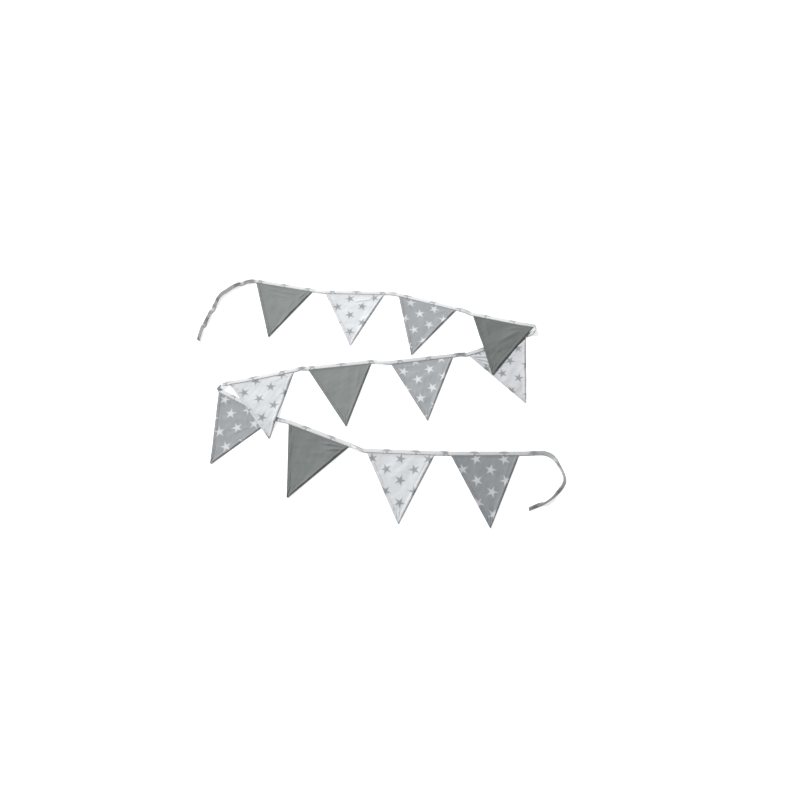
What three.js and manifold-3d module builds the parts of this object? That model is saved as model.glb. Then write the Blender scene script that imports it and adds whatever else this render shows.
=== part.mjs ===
// Fabric bunting: twelve triangular pennants on one folded tape, laid on a flat surface in three rows.
// Units are millimetres, +Z is up, +X runs to the right along the rows and +Y points away from the tips.
import * as THREE from 'three';
import { mergeVertices } from 'three/addons/utils/BufferGeometryUtils.js';
import Module from 'manifold-3d';

const wasm = await Module();
wasm.setup();

// A pennant: the width along the tape, and the thickness of its parts.
const PENNANT_WIDTH = 170;
const HEADING_DEPTH = 10;
const HEADING_THICK = 1.0;
const CLOTH_THICK = 1.5;
const SEAM_THICK = 2.0;
const EDGE_THICK = 1.2;
const SEAM_WIDTH = 9;
const SEAM_STEP = 1.6;
const TIP_WIDTH = 3;

// The tape, folded over the top edge of every pennant.
const TAPE_WIDTH = 12;
const TAPE_THICK = 2.8;
const TAPE_WALL = 0.6;
const FREE_THICK = 2.0;
const SPAN_MARGIN = 1.0;
const FIT_GAP = 0.3;

// How a pennant lies over the row below it.
const DRAPE_CLEARANCE = 2;
const LAP_LIFT = TAPE_THICK + DRAPE_CLEARANCE;
const LAP_RUN = 40;

// Where each pennant lies: the middle of its top edge (x, y), its turn in degrees, how far its tip
// stands off the centre line (skew) and how far it hangs below the tape (drop).
const PLACE_COLUMNS = ['x', 'y', 'turn', 'skew', 'drop', 'cloth'];
const PLACES = [
  [-336.5, 356, -11, 4, 168, 'grey'],
  [-130, 332, -1.4, -3, 169, 'whiteStars'],
  [78, 300.5, -16.3, 2, 173, 'greyStars'],
  [289.5, 238.5, -13.5, -2, 170, 'grey'],
  [269, 159.5, 19.8, -1, 179, 'whiteStars'],
  [60.5, 115, 7.4, -12, 173, 'greyStars'],
  [-162, 96.5, 6.6, 4, 172, 'grey'],
  [-368, 61.5, 13, -3, 173, 'whiteStars'],
  [-404, -17.5, -27.5, 13, 169, 'greyStars'],
  [-207.5, -99, -21.3, -3, 172, 'grey'],
  [1.5, -148.5, -2.3, 1, 172, 'whiteStars'],
  [213, -153, 0, 0, 177, 'greyStars'],
];

// The swells of each pennant: one low hump (height, distance across from the centre line, distance
// down from the tape, radius) and how far the left edge, the right edge and the tip stand up.
const SWELL_COLUMNS = ['height', 'across', 'down', 'radius', 'left', 'right', 'tip'];
const SWELLS = [
  [1.6, 22, 62, 42, 0.6, 2.4, 1.8],
  [1.2, -18, 70, 40, 0.6, 2.2, 1.2],
  [1.4, 24, 56, 40, 0.5, 2.4, 1.8],
  [1.2, -30, 40, 34, 0.6, 2.0, 0.4],
  [1.4, 22, 112, 30, 0.0, 2.6, 2.0],
  [1.5, -20, 64, 44, 0.8, 2.4, 1.4],
  [1.3, 18, 74, 40, 0.6, 2.4, 1.6],
  [1.2, 20, 60, 36, 0.8, 2.0, 1.0],
  [1.3, -18, 92, 30, 0.8, 0.6, 1.8],
  [2.4, 44, 30, 30, 0.6, 2.6, 2.0],
  [1.4, -16, 66, 42, 0.8, 2.2, 1.6],
  [1.5, 14, 78, 44, 0.6, 2.6, 2.0],
];

// The free stretches of the tape: points x, y on its centre line and its roll in degrees there.
const LEFT_TIE = [
  [-555.5, 176.5, -58],
  [-553, 199, -56],
  [-550, 218, -52],
  [-545, 232, -58],
  [-541, 249, -60],
  [-536, 265, -46],
  [-531, 279, -15],
  [-526, 290, -56],
  [-522, 307, -48],
  [-514.5, 328, -50],
  [-501, 341, -54],
  [-486, 353, -50],
  [-470, 362, -56],
  [-455, 367.5, -74],
  [-440, 372.5, -70],
  [-429, 376, -32],
];
const RIGHT_TURN = [
  [377, 220.8, 60],
  [377.6, 213.8, 90],
  [373, 206.2, 120],
  [363, 200, 172],
];
const LEFT_TURN = [
  [-461, 45.8, 178],
  [-469, 43, 150],
  [-474.5, 38.8, 100],
  [-476.8, 34.4, 90],
];
const RIGHT_TIE = [
  [319.5, -147, 8],
  [341, -146, 18],
  [359, -146.5, 34],
  [371.5, -149.5, 42],
  [380, -155.5, 28],
  [387, -164.5, 15],
  [393, -176, 34],
  [400, -191, 56],
  [403.5, -208, 58],
  [401, -222.5, 56],
  [394, -233.5, 50],
  [381, -247, 25],
  [363, -262.5, 78],
  [345, -272, 88],
  [327, -278, 62],
  [307, -286.5, 58],
];
// How far the tape leans over halfway between two neighbouring pennants, in degrees.
const LINK_ROLLS = new Map([
  [0, 10], [1, -20], [2, -35], [4, 55], [5, -25], [6, 45], [8, 10], [9, 40], [10, -15],
]);
const TIE_STEPS = 30;
const TURN_STEPS = 16;
const LINK_STEPS = 6;

// Rows down a pennant, as parts of its drop.
const ROWS = [0.12, 0.25, 0.38, 0.5, 0.62, 0.73, 0.82, 0.9, 0.96, 1];

const rowOf = (columns, values) => Object.fromEntries(columns.map((name, i) => [name, values[i]]));
const smooth = (t) => {
  const s = Math.min(1, Math.max(0, t));
  return s * s * (3 - 2 * s);
};

const pennants = PLACES.map((values, i) => {
  const p = { ...rowOf(PLACE_COLUMNS, values), ...rowOf(SWELL_COLUMNS, SWELLS[i]) };
  const turn = THREE.MathUtils.degToRad(p.turn);
  p.along = new THREE.Vector2(Math.cos(turn), Math.sin(turn));
  p.up = new THREE.Vector2(-Math.sin(turn), Math.cos(turn));
  p.at = (across, down) => new THREE.Vector2(p.x, p.y)
    .addScaledVector(p.along, across)
    .addScaledVector(p.up, -down);
  // The second row runs back from right to left, so the tape meets its right corner first.
  p.back = i >= 4 && i < 8;
  return p;
});

// Distance in plan from a point to the segment a-b.
function segmentDistance(p, a, b) {
  const ab = b.clone().sub(a);
  const t = THREE.MathUtils.clamp(p.clone().sub(a).dot(ab) / ab.lengthSq(), 0, 1);
  return p.distanceTo(a.clone().addScaledVector(ab, t));
}

// Distance in plan from a point to a triangle, 0 inside it.
function triangleDistance(p, corners) {
  const sides = corners.map((a, i) => {
    const b = corners[(i + 1) % 3];
    return (b.x - a.x) * (p.y - a.y) - (b.y - a.y) * (p.x - a.x);
  });
  if (sides.every((s) => s >= 0) || sides.every((s) => s <= 0)) return 0;
  return Math.min(...corners.map((a, i) => segmentDistance(p, a, corners[(i + 1) % 3])));
}

// What lies below the two lapping pennants: the pennant of the row below and the tape beside it.
function lapOf(under, tapeFrom, tapeTo) {
  const corners = [
    under.at(-PENNANT_WIDTH / 2, 0),
    under.at(PENNANT_WIDTH / 2, 0),
    under.at(under.skew, under.drop),
  ];
  return (p) => Math.min(
    triangleDistance(p, corners),
    Math.max(0, segmentDistance(p, tapeFrom, tapeTo) - TAPE_WIDTH / 2),
  );
}
const tapeEnd = (p, side) => p.at(side * (PENNANT_WIDTH / 2 + SPAN_MARGIN), -TAPE_WIDTH / 2);
const laps = new Map([
  [3, lapOf(pennants[4], tapeEnd(pennants[4], -1), new THREE.Vector2(367, 202))],
  [7, lapOf(pennants[8], tapeEnd(pennants[8], -1), tapeEnd(pennants[9], -1))],
]);
function lift(index, p) {
  const lap = laps.get(index);
  return lap ? LAP_LIFT * smooth(1 - lap(p) / LAP_RUN) : 0;
}

// Distances across a row of half width h: the edges, the two lines of each seam and the cloth between.
function columnsAt(h) {
  const seam = h - Math.min(SEAM_WIDTH, 0.45 * h);
  const cloth = seam - Math.min(SEAM_STEP, 0.15 * h);
  return [-h, -seam, -cloth, -cloth / 2, 0, cloth / 2, cloth, seam, h];
}
const THICKNESSES = [
  EDGE_THICK, SEAM_THICK, CLOTH_THICK, CLOTH_THICK, CLOTH_THICK, CLOTH_THICK, CLOTH_THICK, SEAM_THICK,
  EDGE_THICK,
];

// Height of the underside of a pennant at a point across and down from the middle of its top edge.
function underside(index, p, across, down, h) {
  const d = down / p.drop;
  const r = Math.hypot(across - p.across, down - p.down) / p.radius;
  const hump = r < 1 ? p.height * (1 - r * r) ** 2 : 0;
  const window = smooth((d - 0.02) / 0.2) * smooth((1 - d) / 0.2);
  const a = across / h;
  const left = p.left * smooth((-a - 0.45) / 0.55) * window;
  const right = p.right * smooth((a - 0.45) / 0.55) * window;
  const tip = p.tip * smooth((d - 0.7) / 0.3);
  return lift(index, p.at(across, down)) + hump + left + right + tip;
}

// One closed body from rows of points, each with a lower and an upper height.
function sheet(rows) {
  const nRows = rows.length;
  const nCols = rows[0].length;
  const positions = [];
  for (const key of ['low', 'high']) {
    for (const row of rows) {
      for (const q of row) positions.push(q.x, q.y, q[key]);
    }
  }
  const low = (r, c) => r * nCols + c;
  const high = (r, c) => nRows * nCols + r * nCols + c;
  const index = [];
  const quad = (a, b, c, d) => index.push(a, b, c, a, c, d);
  for (let r = 0; r < nRows - 1; r += 1) {
    for (let c = 0; c < nCols - 1; c += 1) {
      quad(high(r, c), high(r + 1, c), high(r + 1, c + 1), high(r, c + 1));
      quad(low(r, c), low(r, c + 1), low(r + 1, c + 1), low(r + 1, c));
    }
    quad(low(r, 0), low(r + 1, 0), high(r + 1, 0), high(r, 0));
    quad(low(r, nCols - 1), high(r, nCols - 1), high(r + 1, nCols - 1), low(r + 1, nCols - 1));
  }
  for (let c = 0; c < nCols - 1; c += 1) {
    quad(low(0, c), high(0, c), high(0, c + 1), low(0, c + 1));
    quad(low(nRows - 1, c), low(nRows - 1, c + 1), high(nRows - 1, c + 1), high(nRows - 1, c));
  }
  return new THREE.BufferGeometry()
    .setAttribute('position', new THREE.Float32BufferAttribute(positions, 3))
    .setIndex(index);
}

function pennantGeometry(p, index) {
  const rows = [];
  const top = columnsAt(PENNANT_WIDTH / 2);
  // The heading stands level inside the tape, so its height is that of the tape's centre line.
  for (const down of [-HEADING_DEPTH, FIT_GAP]) {
    rows.push(top.map((across) => {
      const q = p.at(across, down);
      const middle = lift(index, p.at(across, -TAPE_WIDTH / 2)) + TAPE_THICK / 2;
      return { x: q.x, y: q.y, low: middle - HEADING_THICK / 2, high: middle + HEADING_THICK / 2 };
    }));
  }
  for (const part of [3 / p.drop, ...ROWS]) {
    const down = part * p.drop;
    const h = THREE.MathUtils.lerp(PENNANT_WIDTH, TIP_WIDTH, part) / 2;
    rows.push(columnsAt(h).map((across, c) => {
      const low = underside(index, p, across, down, h);
      const q = p.at(across + p.skew * part, down);
      return { x: q.x, y: q.y, low, high: low + THICKNESSES[c] };
    }));
  }
  return sheet(rows);
}

// A station of the tape: its place in plan, direction of travel, base height, roll and thickness.
function station(x, y, direction, base, roll, thick) {
  return { x, y, direction, base, roll: THREE.MathUtils.degToRad(roll), thick };
}

// Four corners of a rectangular section at a station, from w0 to w1 across and n0 to n1 through it.
function sectionAt(s, w0, w1, n0, n1) {
  const side = new THREE.Vector3(s.direction.y, -s.direction.x, 0);
  const w = side.clone().multiplyScalar(Math.cos(s.roll));
  w.z = Math.sin(s.roll);
  const n = side.clone().multiplyScalar(-Math.sin(s.roll));
  n.z = Math.cos(s.roll);
  const half = (TAPE_WIDTH / 2) * Math.abs(Math.sin(s.roll)) + (s.thick / 2) * Math.abs(Math.cos(s.roll));
  const centre = new THREE.Vector3(s.x, s.y, s.base + half);
  return [[w0, n0], [w1, n0], [w1, n1], [w0, n1]]
    .map(([a, b]) => centre.clone().addScaledVector(w, a).addScaledVector(n, b));
}

// A bar through its sections, each a ring of four corners.
function bar(rings) {
  const positions = rings.flat().flatMap((v) => v.toArray());
  const last = (rings.length - 1) * 4;
  const index = [0, 3, 2, 0, 2, 1, last, last + 1, last + 2, last, last + 2, last + 3];
  for (let i = 0; i < rings.length - 1; i += 1) {
    for (let k = 0; k < 4; k += 1) {
      const a = i * 4 + k;
      const b = i * 4 + ((k + 1) % 4);
      index.push(a, b, b + 4, a, b + 4, a + 4);
    }
  }
  return new THREE.BufferGeometry()
    .setAttribute('position', new THREE.Float32BufferAttribute(positions, 3))
    .setIndex(index);
}

// A solid of the join-and-cut library from a closed geometry, whichever way its faces run.
function solid(geometry) {
  const make = (triVerts) => new wasm.Manifold(new wasm.Mesh({
    numProp: 3,
    vertProperties: new Float32Array(geometry.attributes.position.array),
    triVerts,
  }));
  const triVerts = new Uint32Array(geometry.index.array);
  const made = make(triVerts);
  return made.volume() > 0 ? made : make(triVerts.reverse());
}

function geometryOf(manifold) {
  const mesh = manifold.getMesh();
  return mergeVertices(new THREE.BufferGeometry()
    .setAttribute('position', new THREE.BufferAttribute(new Float32Array(mesh.vertProperties), 3))
    .setIndex(new THREE.BufferAttribute(new Uint32Array(mesh.triVerts), 1)));
}

// The straight stretch that holds one pennant, in the direction of travel.
function heldStations(p, index, margin) {
  const half = PENNANT_WIDTH / 2;
  const places = [-half - margin, ...columnsAt(half), half + margin];
  if (p.back) places.reverse();
  const direction = p.along.clone().multiplyScalar(p.back ? -1 : 1);
  return places.map((across) => {
    const q = p.at(across, -TAPE_WIDTH / 2);
    const held = p.at(THREE.MathUtils.clamp(across, -half, half), -TAPE_WIDTH / 2);
    return station(q.x, q.y, direction, lift(index, held), p.back ? 180 : 0, TAPE_THICK);
  });
}

// A free stretch through points with a roll each, joined to fixed stations at one or both ends.
function freeStations(points, from, to, steps) {
  const degrees = (s) => THREE.MathUtils.radToDeg(s.roll);
  const knots = points.map(([x, y, roll]) => new THREE.Vector3(x, y, roll));
  if (from) knots.unshift(new THREE.Vector3(from.x, from.y, degrees(from)));
  if (to) knots.push(new THREE.Vector3(to.x, to.y, degrees(to)));
  const curve = new THREE.CatmullRomCurve3(knots, false, 'centripetal');
  const made = [];
  for (let i = from ? 1 : 0; i <= (to ? steps - 1 : steps); i += 1) {
    const t = i / steps;
    const q = curve.getPoint(t);
    const tangent = curve.getTangent(t);
    const direction = new THREE.Vector2(tangent.x, tangent.y).normalize();
    const base = (from ? from.base * (1 - smooth(t)) : 0) + (to ? to.base * smooth(t) : 0);
    made.push(station(q.x, q.y, direction, base, q.z, FREE_THICK));
  }
  return made;
}

// The short link between two neighbouring pennants of a row.
function linkStations(from, to, lean) {
  const reach = Math.hypot(to.x - from.x, to.y - from.y) / 3;
  const ends = [from, to].map((s) => new THREE.Vector2(s.x, s.y));
  const curve = new THREE.CubicBezierCurve(
    ends[0],
    ends[0].clone().addScaledVector(from.direction, reach),
    ends[1].clone().addScaledVector(to.direction, -reach),
    ends[1],
  );
  const made = [];
  for (let i = 1; i < LINK_STEPS; i += 1) {
    const t = i / LINK_STEPS;
    const q = curve.getPoint(t);
    const base = THREE.MathUtils.lerp(from.base, to.base, smooth(t));
    const roll = THREE.MathUtils.radToDeg(from.roll) + lean * Math.sin(Math.PI * t) ** 2;
    made.push(station(q.x, q.y, curve.getTangent(t), base, roll, FREE_THICK));
  }
  return made;
}

function tapeGeometry() {
  const spans = pennants.map((p, i) => heldStations(p, i, SPAN_MARGIN));
  const route = freeStations(LEFT_TIE, null, spans[0][0], TIE_STEPS);
  spans.forEach((span, i) => {
    route.push(...span);
    const from = span[span.length - 1];
    const next = spans[i + 1];
    if (i === 3) route.push(...freeStations(RIGHT_TURN, from, next[0], TURN_STEPS));
    else if (i === 7) route.push(...freeStations(LEFT_TURN, from, next[0], TURN_STEPS));
    else if (next) route.push(...linkStations(from, next[0], LINK_ROLLS.get(i)));
    else route.push(...freeStations(RIGHT_TIE, from, null, TIE_STEPS));
  });
  const w = TAPE_WIDTH / 2;
  let tape = solid(bar(route.map((s) => sectionAt(s, -w, w, -s.thick / 2, s.thick / 2))));
  // The slots that hold the headings, open at the tape's lower edge.
  const slot = TAPE_THICK / 2 - TAPE_WALL;
  pennants.forEach((p, i) => {
    const rings = heldStations(p, i, FIT_GAP)
      .map((s) => sectionAt(s, w - HEADING_DEPTH - FIT_GAP, w + 1, -slot, slot));
    tape = tape.subtract(solid(bar(rings)));
  });
  return geometryOf(tape);
}

const COLOURS = {
  grey: 0x8a908e,
  whiteStars: 0xe1e4e7,
  greyStars: 0xa2a6aa,
  tape: 0xe3e5e8,
};
function clothMesh(name, geometry, colour) {
  const material = new THREE.MeshStandardMaterial({ color: colour, roughness: 0.9, metalness: 0 });
  const mesh = new THREE.Mesh(geometry, material);
  mesh.name = name;
  return mesh;
}

const bunting = new THREE.Group();
bunting.name = 'fabric_bunting';
pennants.forEach((p, i) => {
  const name = `pennant_${String(i + 1).padStart(2, '0')}`;
  bunting.add(clothMesh(name, pennantGeometry(p, i), COLOURS[p.cloth]));
});
bunting.add(clothMesh('tape', tapeGeometry(), COLOURS.tape));

// The origin is the middle of the whole laid-out outline, on the surface.
const bounds = new THREE.Box3().setFromObject(bunting);
const middle = bounds.getCenter(new THREE.Vector3());
bunting.children.forEach((mesh) => {
  mesh.geometry.translate(-middle.x, -middle.y, -bounds.min.z);
  mesh.geometry.computeVertexNormals();
});

export default bunting;
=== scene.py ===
"""Fabric bunting: twelve double-layer cloth pennants on a folded tape with free tie ends,
laid in three rows on a pale floor. Lengths are in millimetres up to the meshes, which are in metres."""
import math
from types import SimpleNamespace

import bpy
import numpy as np
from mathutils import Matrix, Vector


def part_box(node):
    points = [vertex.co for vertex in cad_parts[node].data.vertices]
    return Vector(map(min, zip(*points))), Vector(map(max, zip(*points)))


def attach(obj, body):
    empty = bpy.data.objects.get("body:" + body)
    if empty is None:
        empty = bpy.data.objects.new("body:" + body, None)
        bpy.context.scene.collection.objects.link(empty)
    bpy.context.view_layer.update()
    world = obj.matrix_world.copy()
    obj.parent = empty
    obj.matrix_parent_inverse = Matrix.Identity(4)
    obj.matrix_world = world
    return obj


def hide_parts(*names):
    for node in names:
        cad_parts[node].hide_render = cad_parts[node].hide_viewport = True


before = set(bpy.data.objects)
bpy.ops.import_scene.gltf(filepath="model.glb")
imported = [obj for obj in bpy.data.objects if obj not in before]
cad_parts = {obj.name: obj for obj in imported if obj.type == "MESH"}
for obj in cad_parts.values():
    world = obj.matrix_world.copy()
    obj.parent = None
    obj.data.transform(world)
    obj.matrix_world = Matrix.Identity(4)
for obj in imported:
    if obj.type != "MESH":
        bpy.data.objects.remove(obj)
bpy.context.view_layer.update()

bl_info = {
    "name": "Fabric bunting",
    "version": (1, 0, 0),
    "blender": (4, 5, 0),
    "location": "View3D > Sidebar > Bunting",
    "description": "Builds a string of cloth pennants on a folded tape, laid in rows",
    "category": "Add Mesh",
}

MM = 0.001
BODY = "root"

# The pennants: place of the middle of the top edge, turn in degrees, how far the tip stands off the
# centre line, how far it hangs below the tape, the cloth and where the star repeat starts on it.
PLACE_COLUMNS = ("x", "y", "turn", "skew", "drop", "cloth", "print_turn", "print_x", "print_y")
PLACES = (
    (-336.5, 356, -11, 4, 168, "grey", 0, 0, 0),
    (-130, 332, -1.4, -3, 169, "white_star", -3, 21, 42),
    (78, 300.5, -16.3, 2, 173, "grey_star", 1, 24, 12),
    (289.5, 238.5, -13.5, -2, 170, "grey", 0, 0, 0),
    (269, 159.5, 19.8, -1, 179, "white_star", 0, 48, 24),
    (60.5, 115, 7.4, -12, 173, "grey_star", 1, 51, 54),
    (-162, 96.5, 6.6, 4, 172, "grey", 0, 0, 0),
    (-368, 61.5, 13, -3, 173, "white_star", -2, 18, 30),
    (-404, -17.5, -27.5, 13, 169, "grey_star", -4, 12, 6),
    (-207.5, -99, -21.3, -3, 172, "grey", 0, 0, 0),
    (1.5, -148.5, -2.3, 1, 172, "white_star", -1, 0, 12),
    (213, -153, 0, 0, 177, "grey_star", 1, 12, 36),
)

# One low hump on each pennant, and how far its left edge, right edge and tip stand up.
SWELL_COLUMNS = ("height", "hump_across", "hump_down", "radius", "left", "right", "tip")
SWELLS = (
    (1.6, 22, 62, 42, 0.6, 2.4, 1.8),
    (1.2, -18, 70, 40, 0.6, 2.2, 1.2),
    (1.4, 24, 56, 40, 0.5, 2.4, 1.8),
    (1.2, -30, 40, 34, 0.6, 0.4, 0.4),
    (1.4, 22, 112, 30, 0.0, 2.6, 2.0),
    (1.5, -20, 64, 44, 0.8, 2.4, 1.4),
    (1.3, 18, 74, 40, 0.6, 2.4, 1.6),
    (1.2, 20, 60, 36, 0.8, 2.0, 1.0),
    (1.3, -18, 92, 30, 0.8, 0.6, 1.8),
    (2.4, 44, 30, 30, 0.6, 2.6, 2.0),
    (1.4, -16, 66, 42, 0.8, 2.2, 1.6),
    (1.5, 14, 78, 44, 0.6, 2.6, 2.0),
)

# Painted light and shade of each pennant: how much lighter or darker its cloth is drawn, for how the
# light falls on it.
PAINTED_LIGHT_TONES = (1.0, 1.06, 1.0, 0.63, 0.85, 1.02, 0.96, 0.98, 0.96, 0.77, 0.92, 0.69)
# Painted shade at its sides and its tip against its middle: how dark, where that sets in, and over what
# distance.
SIDE_PAINTED_SHADE, SIDE_TONE_FROM, SIDE_TONE_RUN = 0.94, 25.0, 40.0
TIP_PAINTED_SHADE, TIP_TONE_FROM, TIP_TONE_RUN = 0.92, 110.0, 35.0

# Creases in the upper layer: where each starts and ends on its pennant, its height and half width.
CREASE_COLUMNS = ("pennant", "across_1", "down_1", "across_2", "down_2", "height", "width")
CREASES = (
    (1, -52, 12, 48, 17, 1.3, 2.6),
    (1, -30, 27, 26, 33, 1.1, 3.0),
    (1, 70, 4, 46, 34, 1.5, 2.8),
    (1, 40, 30, 26, 76, 0.7, 4.0),
    (2, -6, 27, 62, 12, 1.8, 2.6),
    (2, -50, 26, -18, 44, 0.7, 3.0),
    (3, 62, 6, 18, 34, 0.8, 4.0),
    (3, -60, 8, -30, 48, 0.7, 4.0),
    (4, 70, 5, 4, 24, 1.5, 3.2),
    (4, 52, 16, -12, 78, 1.9, 6.5),
    (4, -52, 6, -30, 64, 1.5, 4.2),
    (4, 8, 84, -14, 132, 1.0, 5.0),
    (5, -83, 4, -27, 24, 2.8, 2.0),
    (5, -81, 8, -30, 42, 3.0, 2.0),
    (5, -78, 14, -35, 57, 3.2, 2.0),
    (5, -74, 21, -42, 70, 3.0, 2.0),
    (5, 66, 22, 30, 104, 0.8, 3.0),
    (6, -70, 6, -20, 16, 0.7, 3.0),
    (7, 50, 8, 34, 76, 0.9, 3.4),
    (7, -46, 16, -20, 80, 0.7, 4.0),
    (8, -80, 4, -48, 30, 1.0, 2.6),
    (8, 74, 6, 22, 14, 0.9, 2.6),
    (9, -78, 10, -60, 60, 0.8, 3.0),
    (9, -83, 6, -62, 13, 2.0, 2.0),
    (9, -58, 5, -38, 12, 1.8, 2.0),
    (9, 40, 40, 0, 90, 0.7, 4.0),
    (10, 86, 1, 8, 17, 3.2, 3.4),
    (10, 80, 9, 26, 31, 2.6, 3.6),
    (10, 40, 34, -6, 52, 0.9, 4.0),
    (10, -68, 8, -40, 76, 1.3, 2.4),
    (10, -20, 66, 10, 92, 0.8, 5.0),
    (11, -72, 16, -46, 60, 0.6, 3.0),
    (11, 66, 12, 40, 60, 0.6, 3.0),
    (12, 62, 8, 40, 70, 0.9, 4.0),
    (12, -70, 6, -42, 44, 0.7, 4.0),
)

# The free stretches of the tape: centre line x, y and its roll in degrees.
LEFT_TIE = (
    (-556.5, 177, -70), (-555, 195, -70), (-552.5, 215, -70), (-547.5, 227, -30), (-543.5, 243, -70),
    (-538.5, 262, -70), (-531.5, 280, -14), (-526, 298, -70), (-521.5, 316, -74), (-514, 330, -70),
    (-502, 340.5, -66), (-487.5, 353.5, -66), (-474, 362.5, -72), (-461, 367, -20), (-444, 373, -66),
    (-431, 376, -40),
)
RIGHT_TURN = ((377, 220.8, 60), (377.6, 213.8, 90), (373, 206.2, 120), (363, 200, 172))
# Where in that turn the tape's stretch under the fourth pennant ends.
RIGHT_TURN_INNER = (367.0, 202.0)
LEFT_TURN = ((-461, 45.8, 178), (-469, 43, 150), (-474.5, 38.8, 100), (-476.8, 34.4, 90))
RIGHT_TIE = (
    (319.5, -147, -10), (341, -146.2, -24), (361, -146.8, -30), (377, -152.5, -16), (386.5, -161, 4),
    (392, -173.5, 28), (398, -187.5, 38), (402, -201, 38), (403, -215.5, 38), (398, -227, 40),
    (389.5, -238, 38), (381, -246.5, 44), (366, -260.5, 64), (348, -272, 68), (334, -276, 40),
    (321, -281, 44), (307.5, -286.5, 46),
)
# How far the tape leans over halfway between a pennant and the next, in degrees.
LINK_ROLLS = {1: 10, 2: -20, 3: -35, 5: 55, 6: -25, 7: 45, 9: 10, 10: 40, 11: -15}
# Stars of the print that show on the tape: x, y and how far they lie in from its upper open edge.
TAPE_STARS = (
    (-521.5, 310.5, 6), (-336.8, 362.3, 10), (-125.3, 337.8, 10), (20.6, 323.4, 10),
    (77.6, 123.3, 15), (-394.1, 61.6, 15), (-242.8, -79.2, 10), (40.7, -144.1, 10), (259.5, -147, 10),
    (393, -176, 6), (385.4, -242.6, 6), (322, -280, 6),
)

# Painted light and shade along the tape's way: x, y and how much lighter or darker it is drawn there.
TAPE_PAINTED_LIGHT = (
    (-431, 376, 1.0), (-335, 362, 1.15), (291, 244, 1.15), (377, 220.8, 0.85), (59.7, 121, 0.9),
    (-369, 67, 1.2), (-400, -12, 1.0), (1.7, -142.5, 1.0), (213, -147, 0.78), (392, -173.5, 0.68),
)

# The folded tape: its width, its thickness on a pennant and half the least gap inside its fold.
TAPE_WIDTH = 12.0
TAPE_THICK = 2.8
LEAST_GAP = 0.08
# How far the tape keeps its full thickness past a pennant.
SPAN_MARGIN = 1.0
# Stations of the tape on a pennant, between two pennants, in a turn and in a tie.
SPAN_STEPS = 60
LINK_STEPS = 14
TURN_STEPS = 40
TIE_STEPS = 120
# How far in from its edge a pennant's upper side rounds off, at its two sides.
LEFT_ROUND = 1.5
RIGHT_ROUND = 4.0
# How much higher than in the table the right edge and the tip stand, the part of that by which the
# right edge turns down again, and over what distance.
RIGHT_RISE = 1.35
TIP_RISE = 1.2
RIGHT_DROOP = 0.7
RIGHT_DROOP_RUN = 6.0
# The parts of the half width and of the drop from which on the edges and the tip stand up.
EDGE_FROM, EDGE_RUN = 0.45, 0.55
TIP_FROM, TIP_RUN = 0.7, 0.3
# Thickness of a pennant's two layers, the part of it below the rounded edge, and the least of it.
PLAIN_THICK = 1.3
LOWER_PART = 0.55
LEAST_THICK = 0.75
# The seam allowance: how much thicker it is, and the pressed line inside it.
ALLOWANCE_THICK = 0.55
PRESS_DEPTH, PRESS_IN, PRESS_WIDTH = 0.55, 1.6, 1.5
# The fuller right edge: its height, how far in and how wide.
FULL_HEIGHT, FULL_IN, FULL_WIDTH = 0.8, 5.0, 3.2
# Pucker along the seams and gathers towards the tip: height, distance from wave to wave and width.
PUCKER_HEIGHT, PUCKER_PITCH, PUCKER_WIDTH = 0.18, 13.0, 4.0
GATHER_HEIGHT, GATHER_PITCH = 0.42, 6.5
# How far in from the right and the left edge the cloth is darkened by painted shade, and how strongly at
# the left.
RIGHT_SHADE_IN, RIGHT_SHADE_RUN = 4.4, 3.6
LEFT_SHADE, LEFT_SHADE_RUN = 0.25, 1.5
# Lines of points down a pennant and across its middle, and in from its edge for a seam of 9 mm.
BODY_ROWS = 104
MIDDLE_COLUMNS = 59
EDGE_SEAM = 9.0
EDGE_COLUMNS = (0.0, 0.35, 0.9, 1.8, 3.2, 5.0, 6.8, 8.2, 9.0, 9.8, 11.0)
# How far a heading reaches into the tape, and half its thickness there.
HEADING_DEPTH = 9.7
HEADING_HALF = 0.42
# How high a pennant is raised over the tape and the cloth under it, and how far away that starts.
LAP_OVER_TAPE = 4.6
LAP_OVER_CLOTH = 2.5
LAP_RUN = 40.0
# Waves of the upper layer: length and height.
WAVES = ((95, 0.30), (60, 0.22), (38, 0.16), (24, 0.11), (15, 0.07))
# Millimetres of cloth in one unit of the pieces' own coordinates.
CLOTH_UNIT = 100.0

# The camera, for a square picture of the photograph's size: degrees, metres, millimetres and pixels.
CAMERA_ELEVATION = 66.5
CAMERA_DISTANCE = 1.313
SENSOR_WIDTH = 36.0
FOCAL_PIXELS = 500.0
PHOTO_SIZE = 800
# The floor in metres, just below the cloth.
FLOOR_SIZE = 12.0
FLOOR_DROP = 0.0002


def length_property(name, description, millimetres, least):
    return bpy.props.FloatProperty(
        name=name, description=description, default=millimetres * MM, min=least * MM,
        unit="LENGTH", precision=5)


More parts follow.
